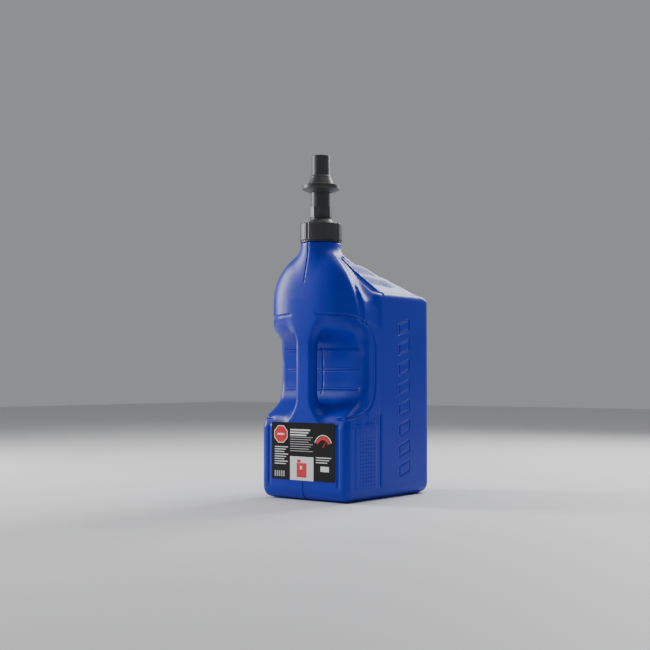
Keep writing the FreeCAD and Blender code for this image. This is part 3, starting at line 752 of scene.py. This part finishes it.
def settle_in_mesh(piece: bpy.types.Object) -> None:
    """Move an object's place into its mesh, so that it stands unturned at the origin.

    Args:
        piece: the object.
    """
    select_only(piece)
    bpy.ops.object.transform_apply(location=True, rotation=True, scale=True)


@dataclass
class JugSkin:
    """The visible blue skin of the jug."""

    form: JugForm
    cell: float = 4.0
    inner_cell: float = 7.0
    fine_reach: float = 1.2
    fine_change: float = 0.3

    def fine_places(self, points: Array) -> Array:
        """Which points lie where the relief needs a finer net.

        Args:
            points: the points, as (N, 3).

        Returns:
            True for each such point.
        """
        x, y, z = points.T
        here = self.form.relief(x, y, z)
        change = np.zeros(len(points))
        for dx, dy, dz in np.vstack([np.eye(3), -np.eye(3)]) * self.fine_reach:
            change = np.maximum(change, np.abs(self.form.relief(x + dx, y + dy, z + dz) - here))
        return change > self.fine_change

    def shell(self, name: str, field: Field, cell: float) -> bpy.types.Object:
        """A closed net of one field as an object.

        Args:
            name: the object's name.
            field: the distance field.
            cell: size of a cell.

        Returns:
            The object.
        """
        form = self.form
        margin = 2 * cell
        low = np.array([-form.half_width - margin + 0.37, form.front - margin + 0.41, -margin + 0.53])
        high = np.array([form.half_width + margin, form.back + margin, form.neck_top + 6 + margin])
        points, quads = net(field, low, high, cell)
        return make_piece(name, settle(field, points, 2), quads)

    def refine(self, piece: bpy.types.Object, rounds: int) -> None:
        """Make the net finer along the relief.

        Args:
            piece: the net.
            rounds: how many times its edges are halved.
        """
        bm = bmesh.new()
        bm.from_mesh(piece.data)
        for _ in range(rounds):
            bm.verts.ensure_lookup_table()
            place = np.array([vert.co[:] for vert in bm.verts]) / MM
            fine = self.fine_places(place)
            edges = [edge for edge in bm.edges if fine[edge.verts[0].index] or fine[edge.verts[1].index]]
            bmesh.ops.subdivide_edges(bm, edges=edges, cuts=1, use_grid_fill=True)
            bm.verts.index_update()
            place = settle(self.form.field, np.array([vert.co[:] for vert in bm.verts]) / MM, 3)
            for vert, spot in zip(bm.verts, place):
                vert.co = Vector(spot * MM)
        bmesh.ops.triangulate(bm, faces=[face for face in bm.faces if len(face.verts) > 4])
        bm.to_mesh(piece.data)
        bm.free()

    def build(self, paint: Paint) -> bpy.types.Object:
        """Model the skin, hollow and open through the neck.

        Args:
            paint: the finishes.

        Returns:
            The piece.
        """
        piece = self.shell("jug_skin", self.form.field, self.cell)
        self.refine(piece, 2)
        space = self.shell("fuel_space", self.form.fuel_space, self.inner_cell)
        apply_modifier(piece, "BOOLEAN", operation="DIFFERENCE", solver="MANIFOLD", object=space)
        bpy.data.objects.remove(space)
        piece.data.polygons.foreach_set("use_smooth", [True] * len(piece.data.polygons))
        paint.cover(piece, "blue")
        triangles = sum(len(face.vertices) - 2 for face in piece.data.polygons)
        LOG.info("jug_skin: %d triangles", triangles)
        return piece


@dataclass
class NeckFinish:
    """The threaded tube that the cap screws onto."""

    axis_y: float
    low: float
    high: float
    radius: float = 33.0
    bore: float = 29.5
    depth: float = 2.0
    pitch: float = 6.0
    start: float = 9.0
    turns: float = 1.75

    def build(self, paint: Paint) -> bpy.types.Object:
        """Model the tube with its helical ridge as a closed net round the neck axis.

        Args:
            paint: the finishes.

        Returns:
            The piece.
        """
        around, up = ((96, 80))
        angle = np.arange(around) * 2 * math.pi / around
        heights = np.linspace(self.low - 2, self.high, up)
        turn, height = np.meshgrid(angle, heights, indexing="ij")
        ridge = np.zeros_like(turn)
        for lap in range(3):
            along = turn / (2 * math.pi) + lap
            off = np.abs(height - self.low - self.start - self.pitch * along)
            ends = ramp(along, 0, 0.05) * (1 - ramp(along, self.turns - 0.05, self.turns))
            ridge = np.maximum(ridge, ends * (1 - ramp(off, self.pitch * 0.12, self.pitch * 0.25)))
        outer = self.radius + self.depth * ridge
        rings = [np.stack([outer * np.cos(turn), outer * np.sin(turn) + self.axis_y, height], axis=2)]
        for radius, level in ((self.bore, self.high), (self.bore, self.low - 2)):
            ring = np.stack([radius * np.cos(angle), radius * np.sin(angle) + self.axis_y,
                             np.full(around, level)], axis=1)
            rings.append(ring[:, None, :])
        grid = np.concatenate(rings, axis=1)
        rows = grid.shape[1]
        faces = [(i * rows + k, (i + 1) % around * rows + k, (i + 1) % around * rows + (k + 1) % rows,
                  i * rows + (k + 1) % rows) for i in range(around) for k in range(rows)]
        piece = make_piece("neck_finish", grid.reshape(-1, 3), faces)
        smooth(piece, 40)
        paint.cover(piece, "blue")
        return piece


@dataclass
class SideDots:
    """The raised grip dots on one side of the base."""

    side: int
    face_x: float
    axis_y: float
    radius: float = 1.65
    rise: float = 0.9
    gap: float = 8.1
    row_gap: float = 6.55

    def block(self, first: tuple[float, float], across: int, up: int) -> bpy.types.Object:
        """A block of dots, from its first dot at a depth behind the neck axis and a height.

        Args:
            first: depth and height of the first dot.
            across: dots in a row.
            up: number of rows.

        Returns:
            The block.
        """
        bpy.ops.mesh.primitive_uv_sphere_add(segments=8, ring_count=6, radius=MM)
        dot = bpy.context.active_object
        dot.scale = (self.rise, self.radius, self.radius)
        dot.location = (self.side * self.face_x * MM, (self.axis_y + first[0]) * MM, first[1] * MM)
        settle_in_mesh(dot)
        for count, offset in ((across, (0, self.gap * MM, 0)), (up, (0, 0, self.row_gap * MM))):
            apply_modifier(dot, "ARRAY", count=count, use_relative_offset=False, use_constant_offset=True,
                           constant_offset_displace=offset)
        return dot

    def build(self, paint: Paint) -> bpy.types.Object:
        """Model the dots of this side.

        Args:
            paint: the finishes.

        Returns:
            The piece.
        """
        top = 30 + 17 * self.row_gap
        blocks = [self.block((-12, 30), 6, 17), self.block((-12 + 3 * self.gap, top), 3, 1),
                  self.block((-12 + 5 * self.gap, top + self.row_gap), 1, 1)]
        piece = join(blocks, "side_dots_right" if self.side > 0 else "side_dots_left")
        smooth(piece, 80)
        paint.cover(piece, "blue")
        return piece


Outline = list[tuple[float, float]]


def regular(centre: tuple[float, float], radius: float, sides: int) -> Outline:
    """A regular outline with a flat side at the top.

    Args:
        centre: its middle.
        radius: distance to its corners.
        sides: number of sides.

    Returns:
        The outline.
    """
    return [(centre[0] + radius * math.sin(math.pi * (2 * k + 1) / sides),
             centre[1] - radius * math.cos(math.pi * (2 * k + 1) / sides)) for k in range(sides)]


def arc_band(centre: tuple[float, float], outer: float, inner: float, start: float, end: float) -> Outline:
    """A band of a circle between two angles in degrees.

    Args:
        centre: the circle's middle.
        outer: outer radius.
        inner: inner radius.
        start: first angle.
        end: last angle.

    Returns:
        The outline.
    """
    steps = 14
    turns = [math.radians(start + (end - start) * k / steps) for k in range(steps + 1)]
    out = [(centre[0] + outer * math.cos(turn), centre[1] + outer * math.sin(turn)) for turn in turns]
    back = [(centre[0] + inner * math.cos(turn), centre[1] + inner * math.sin(turn))
            for turn in reversed(turns)]
    return out + back


@dataclass
class LabelPrint:
    """The label: a gloss sheet on the front face with plain printed shapes in raised layers."""

    width: float
    height: float
    low: float
    front: float
    corner: float = 3.0

    def box(self, left: float, bottom: float, right: float, top: float) -> Outline:
        """A rectangle given in parts of the label's width and height.

        Args:
            left: left edge.
            bottom: lower edge.
            right: right edge.
            top: upper edge.

        Returns:
            The outline.
        """
        x0, x1 = ((part - 0.5) * self.width for part in (left, right))
        z0, z1 = (self.low + part * self.height for part in (bottom, top))
        return [(x0, z0), (x1, z0), (x1, z1), (x0, z1)]

    def spot(self, across: float, up: float) -> tuple[float, float]:
        """A point given in parts of the label's width and height.

        Args:
            across: part of the width.
            up: part of the height.

        Returns:
            The point in millimetres.
        """
        return (across - 0.5) * self.width, self.low + up * self.height

    def sheet(self, name: str, outlines: list[Outline], start: float, thickness: float) -> bpy.types.Object:
        """Flat outlines as one closed sheet; start is how far in front of the face its back lies.

        Args:
            name: the sheet's name.
            outlines: its shapes.
            start: where its back lies.
            thickness: its thickness.

        Returns:
            The sheet.
        """
        points, faces = [], []
        for outline in outlines:
            faces.append(list(range(len(points), len(points) + len(outline))))
            points += [(x, self.front - start, z) for x, z in outline]
        piece = make_piece(name, np.array(points), faces)
        apply_modifier(piece, "SOLIDIFY", thickness=thickness * MM, offset=1.0)
        return piece

    def rounded(self) -> Outline:
        """The label's own outline with round corners.

        Returns:
            The outline.
        """
        outline = []
        for corner, (x, z) in enumerate(self.box(0, 0, 1, 1)):
            to_x, to_z = 1 if corner in (0, 3) else -1, 1 if corner < 2 else -1
            centre = (x + to_x * self.corner, z + to_z * self.corner)
            for step in range(7):
                turn = math.radians(180 + 90 * corner + 15 * step)
                outline.append((centre[0] + self.corner * math.cos(turn),
                                centre[1] + self.corner * math.sin(turn)))
        return outline

    def build(self, paint: Paint) -> list[bpy.types.Object]:
        """Model the sheet and its printed shapes.

        Args:
            paint: the finishes.

        Returns:
            The layers, the sheet first.
        """
        octagon, gauge = self.spot(0.15, 0.79), self.spot(0.82, 0.60)
        size = self.height
        white = [self.box(0.30, 0.0, 0.67, 0.41), self.box(0.78, 0.17, 0.91, 0.26),
                 regular(octagon, 0.165 * size, 8), arc_band(gauge, 0.20 * size, 0.185 * size, 20, 160)]
        white += self.lines(0.30, 0.62, 0.86, 3, 0.045, 0.025)
        white += self.lines(0.05, 0.265, 0.56, 8, 0.042, 0.015)
        white += self.lines(0.71, 0.945, 0.40, 3, 0.042, 0.015)
        needle = [(gauge[0] - 1.2, gauge[1] - 1), (gauge[0] + 1.2, gauge[1] - 1), (gauge[0] + 8, gauge[1] + 11)]
        red = [regular(octagon, 0.15 * size, 8), arc_band(gauge, 0.17 * size, 0.115 * size, 20, 160), needle]
        red += self.jug_sign(self.spot(0.485, 0.205), 0.31 * size)
        stripes = [self.box(0.05 + 0.035 * row, 0.05, 0.07 + 0.035 * row, 0.15) for row in range(5)]
        grey = self.lines(0.30, 0.66, 0.74, 7, 0.04, 0.012) + stripes
        layers = (("label_sheet", [self.rounded()], -0.3, 0.6, "print_black"),
                  ("label_white", white, 0.25, 0.12, "print_white"),
                  ("label_grey", grey, 0.25, 0.12, "print_grey"),
                  ("label_red", red, 0.33, 0.12, "print_red"),
                  ("label_sign", [self.box(0.095, 0.775, 0.205, 0.805)], 0.41, 0.12, "print_white"))
        pieces = []
        for name, outlines, start, thickness, finish in layers:
            piece = self.sheet(name, outlines, start, thickness)
            paint.cover(piece, finish)
            pieces.append(piece)
        return pieces

    def lines(self, left: float, right: float, top: float, count: int, pitch: float,
              thick: float) -> list[Outline]:
        """Plain bars that stand for lines of print.

        Args:
            left: left edge.
            right: right edge of the longest bar.
            top: height of the first bar.
            count: number of bars.
            pitch: step down from bar to bar.
            thick: height of a bar.

        Returns:
            The outlines.
        """
        return [self.box(left, top - pitch * row, right - 0.03 * (row % 3), top - pitch * row + thick)
                for row in range(count)]

    def jug_sign(self, centre: tuple[float, float], high: float) -> list[Outline]:
        """A plain jug silhouette with a slot for its grip.

        Args:
            centre: its middle.
            high: its height.

        Returns:
            The outlines.
        """
        x, z = centre
        half, up = high * 0.36, high / 2
        parts = ((-1, -0.35, -1, 0.62), (0.1, 1, -1, 0.62), (-0.35, 0.1, -1, -0.1), (-0.35, 0.1, 0.3, 0.62),
                 (-0.9, -0.2, 0.66, 1))
        return [[(x + half * left, z + up * low), (x + half * right, z + up * low),
                 (x + half * right, z + up * top), (x + half * left, z + up * top)]
                for left, right, low, top in parts]


@dataclass
class Spring:
    """The return spring, with flat end coils, between its two seats."""

    axis_y: float
    low: float
    high: float
    radius: float
    wire: float = 1.0
    turns: float = 6.0

    def build(self, paint: Paint) -> bpy.types.Object:
        """Model the coil as a tube swept along a helix.

        Args:
            paint: the finishes.

        Returns:
            The piece.
        """
        steps, around = ((260, 10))
        part = np.linspace(0, 1, steps)
        turn = part * (self.turns + 2) * 2 * math.pi
        climb = np.clip((part * (self.turns + 2) - 1) / self.turns, 0, 1)
        travel = self.high - self.low - 2 * self.wire - 0.6
        height = self.low + self.wire + 0.15 + climb * travel
        ring = np.arange(around) * 2 * math.pi / around
        reach = self.radius + self.wire * np.cos(ring)[None, :]
        grid = np.stack([reach * np.cos(turn)[:, None], reach * np.sin(turn)[:, None] + self.axis_y,
                         height[:, None] + self.wire * np.sin(ring)[None, :] + 0 * reach], axis=2)
        points = grid.reshape(-1, 3)
        faces = [[i * around + k, i * around + (k + 1) % around, (i + 1) * around + (k + 1) % around,
                  (i + 1) * around + k] for i in range(steps - 1) for k in range(around)]
        faces.append(list(range(around))[::-1])
        faces.append([(steps - 1) * around + k for k in range(around)])
        piece = make_piece("spring_coil", points, faces)
        select_only(piece)
        bpy.ops.object.mode_set(mode="EDIT")
        bpy.ops.mesh.select_all(action="SELECT")
        bpy.ops.mesh.normals_make_consistent(inside=False)
        bpy.ops.object.mode_set(mode="OBJECT")
        smooth(piece, 60)
        paint.cover(piece, "steel")
        return piece


def give(piece: bpy.types.Object, body: str, slot: Slot, node: str | None = None) -> None:
    """Let a piece ride a body and, if a node is named, stand in for it.

    Args:
        piece: the piece.
        body: the body it rides.
        slot: its material slot; not used.
        node: the CAD node that it replaces, if any.
    """
    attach(piece, body)
    if node:
        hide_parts(node)


def main() -> None:
    """Load the frame, dress every piece, and set the light and the camera."""
    logging.basicConfig(level=logging.INFO, format="%(name)s: %(message)s")
    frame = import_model()
    paint = Paint()
    low, high = (np.array(corner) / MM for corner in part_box("jug_body"))
    cap_low, cap_high = (np.array(corner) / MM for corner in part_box("cap_ring"))
    axis_y = (cap_low[1] + cap_high[1]) / 2
    neck_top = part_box("neck_ratchet_band")[0][2] / MM
    dress(frame["nodes"], paint)
    form = JugForm(high[0], low[1], high[1], axis_y, neck_top)
    give(JugSkin(form).build(paint), "root", Slot.BLUE, "jug_body")
    give(NeckFinish(axis_y, neck_top, high[2]).build(paint), "root", Slot.BLUE)
    for side in (-1, 1):
        give(SideDots(side, form.half_front + 0.6, axis_y).build(paint), "root", Slot.BLUE)
    label_low, label_high = (np.array(corner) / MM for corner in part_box("info_label"))
    label = LabelPrint(label_high[0] - label_low[0], label_high[2] - label_low[2], label_low[2], low[1])
    for index, piece in enumerate(label.build(paint)):
        give(piece, "root", Slot.LABEL, "info_label" if index == 0 else None)
    coil_low, coil_high = (np.array(corner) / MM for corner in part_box("return_spring"))
    coil = Spring(axis_y, coil_low[2], coil_high[2], (coil_high[0] - coil_low[0]) / 2 - 1).build(paint)
    give(coil, "spout", Slot.STEEL, "return_spring")
    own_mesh(coil)
    studio(axis_y)


def dress(nodes: dict[str, bpy.types.Object], paint: Paint) -> None:
    """Give every CAD node its finish.

    Args:
        nodes: the CAD nodes by name.
        paint: the finishes.
    """
    steel = ("return_spring", "plug_screw", "spring_seat", "spring_cup")
    rubber = ("neck_gasket", "barrel_gasket", "barrel_wiper", "plug_seal", "sleeve_seal")
    satin = ("push_flange", "guide_barrel", "nozzle_tube")
    for name, node in nodes.items():
        finish = "steel" if name in steel else "rubber" if name in rubber else "black"
        paint.cover(node, "black_satin" if name in satin else finish)
        smooth(node, 35)


def area_light(name: str, place: tuple[float, float, float], aim: tuple[float, float, float],
               size: tuple[float, float], power: float) -> None:
    """A soft rectangular light at place, aimed at aim.

    Args:
        name: the light's name.
        place: where it stands, in metres.
        aim: what it faces.
        size: its two sides.
        power: its power in watts.
    """
    data = bpy.data.lights.new(name, "AREA")
    data.shape = "RECTANGLE"
    data.size, data.size_y = size
    data.energy = power
    light = bpy.data.objects.new(name, data)
    light.location = place
    light.rotation_euler = (Vector(aim) - Vector(place)).to_track_quat("-Z", "Y").to_euler()
    bpy.context.scene.collection.objects.link(light)


def studio(axis_y: float) -> None:
    """Floor, lights and camera.

    Args:
        axis_y: depth of the neck's axis, in millimetres.
    """
    bpy.ops.mesh.primitive_plane_add(size=12, location=(0, 0, 0))
    floor = bpy.context.active_object
    floor.name = "floor"
    floor_material = bpy.data.materials.new("floor_pale")
    floor_material.use_nodes = True
    shader = floor_material.node_tree.nodes["Principled BSDF"]
    shader.inputs["Base Color"].default_value = (0.72, 0.72, 0.73, 1)
    shader.inputs["Roughness"].default_value = 0.6
    floor.data.materials.append(floor_material)
    world = bpy.data.worlds.new("studio")
    world.use_nodes = True
    world.node_tree.nodes["Background"].inputs["Color"].default_value = (0.80, 0.81, 0.83, 1)
    world.node_tree.nodes["Background"].inputs["Strength"].default_value = 0.36
    bpy.context.scene.world = world
    aim = (0, -0.03, 0.3)
    area_light("softbox_left", (-1.85, -0.75, 0.95), aim, (0.5, 1.3), 46)
    area_light("rim_behind", (0.1, 1.7, 1.5), aim, (0.8, 1.2), 42)
    area_light("top", (0.2, 0.2, 1.9), aim, (1.4, 1.4), 14)
    azimuth, tilt = math.radians(38.3), math.radians(2.73)
    distance, aside, height = 2.07018, 0.007626, 0.22227
    ahead = Vector((-math.sin(azimuth), math.cos(azimuth), 0))
    right = Vector((math.cos(azimuth), math.sin(azimuth), 0))
    data = bpy.data.cameras.new("camera")
    data.sensor_width = 36
    data.lens = 61.643
    camera = bpy.data.objects.new("camera", data)
    camera.location = Vector((0, axis_y * MM, height)) + right * aside - ahead * distance
    look = ahead + Vector((0, 0, math.tan(tilt)))
    camera.rotation_euler = look.to_track_quat("-Z", "Y").to_euler()
    bpy.context.scene.collection.objects.link(camera)
    bpy.context.scene.camera = camera


if __name__ == "__main__":
    main()
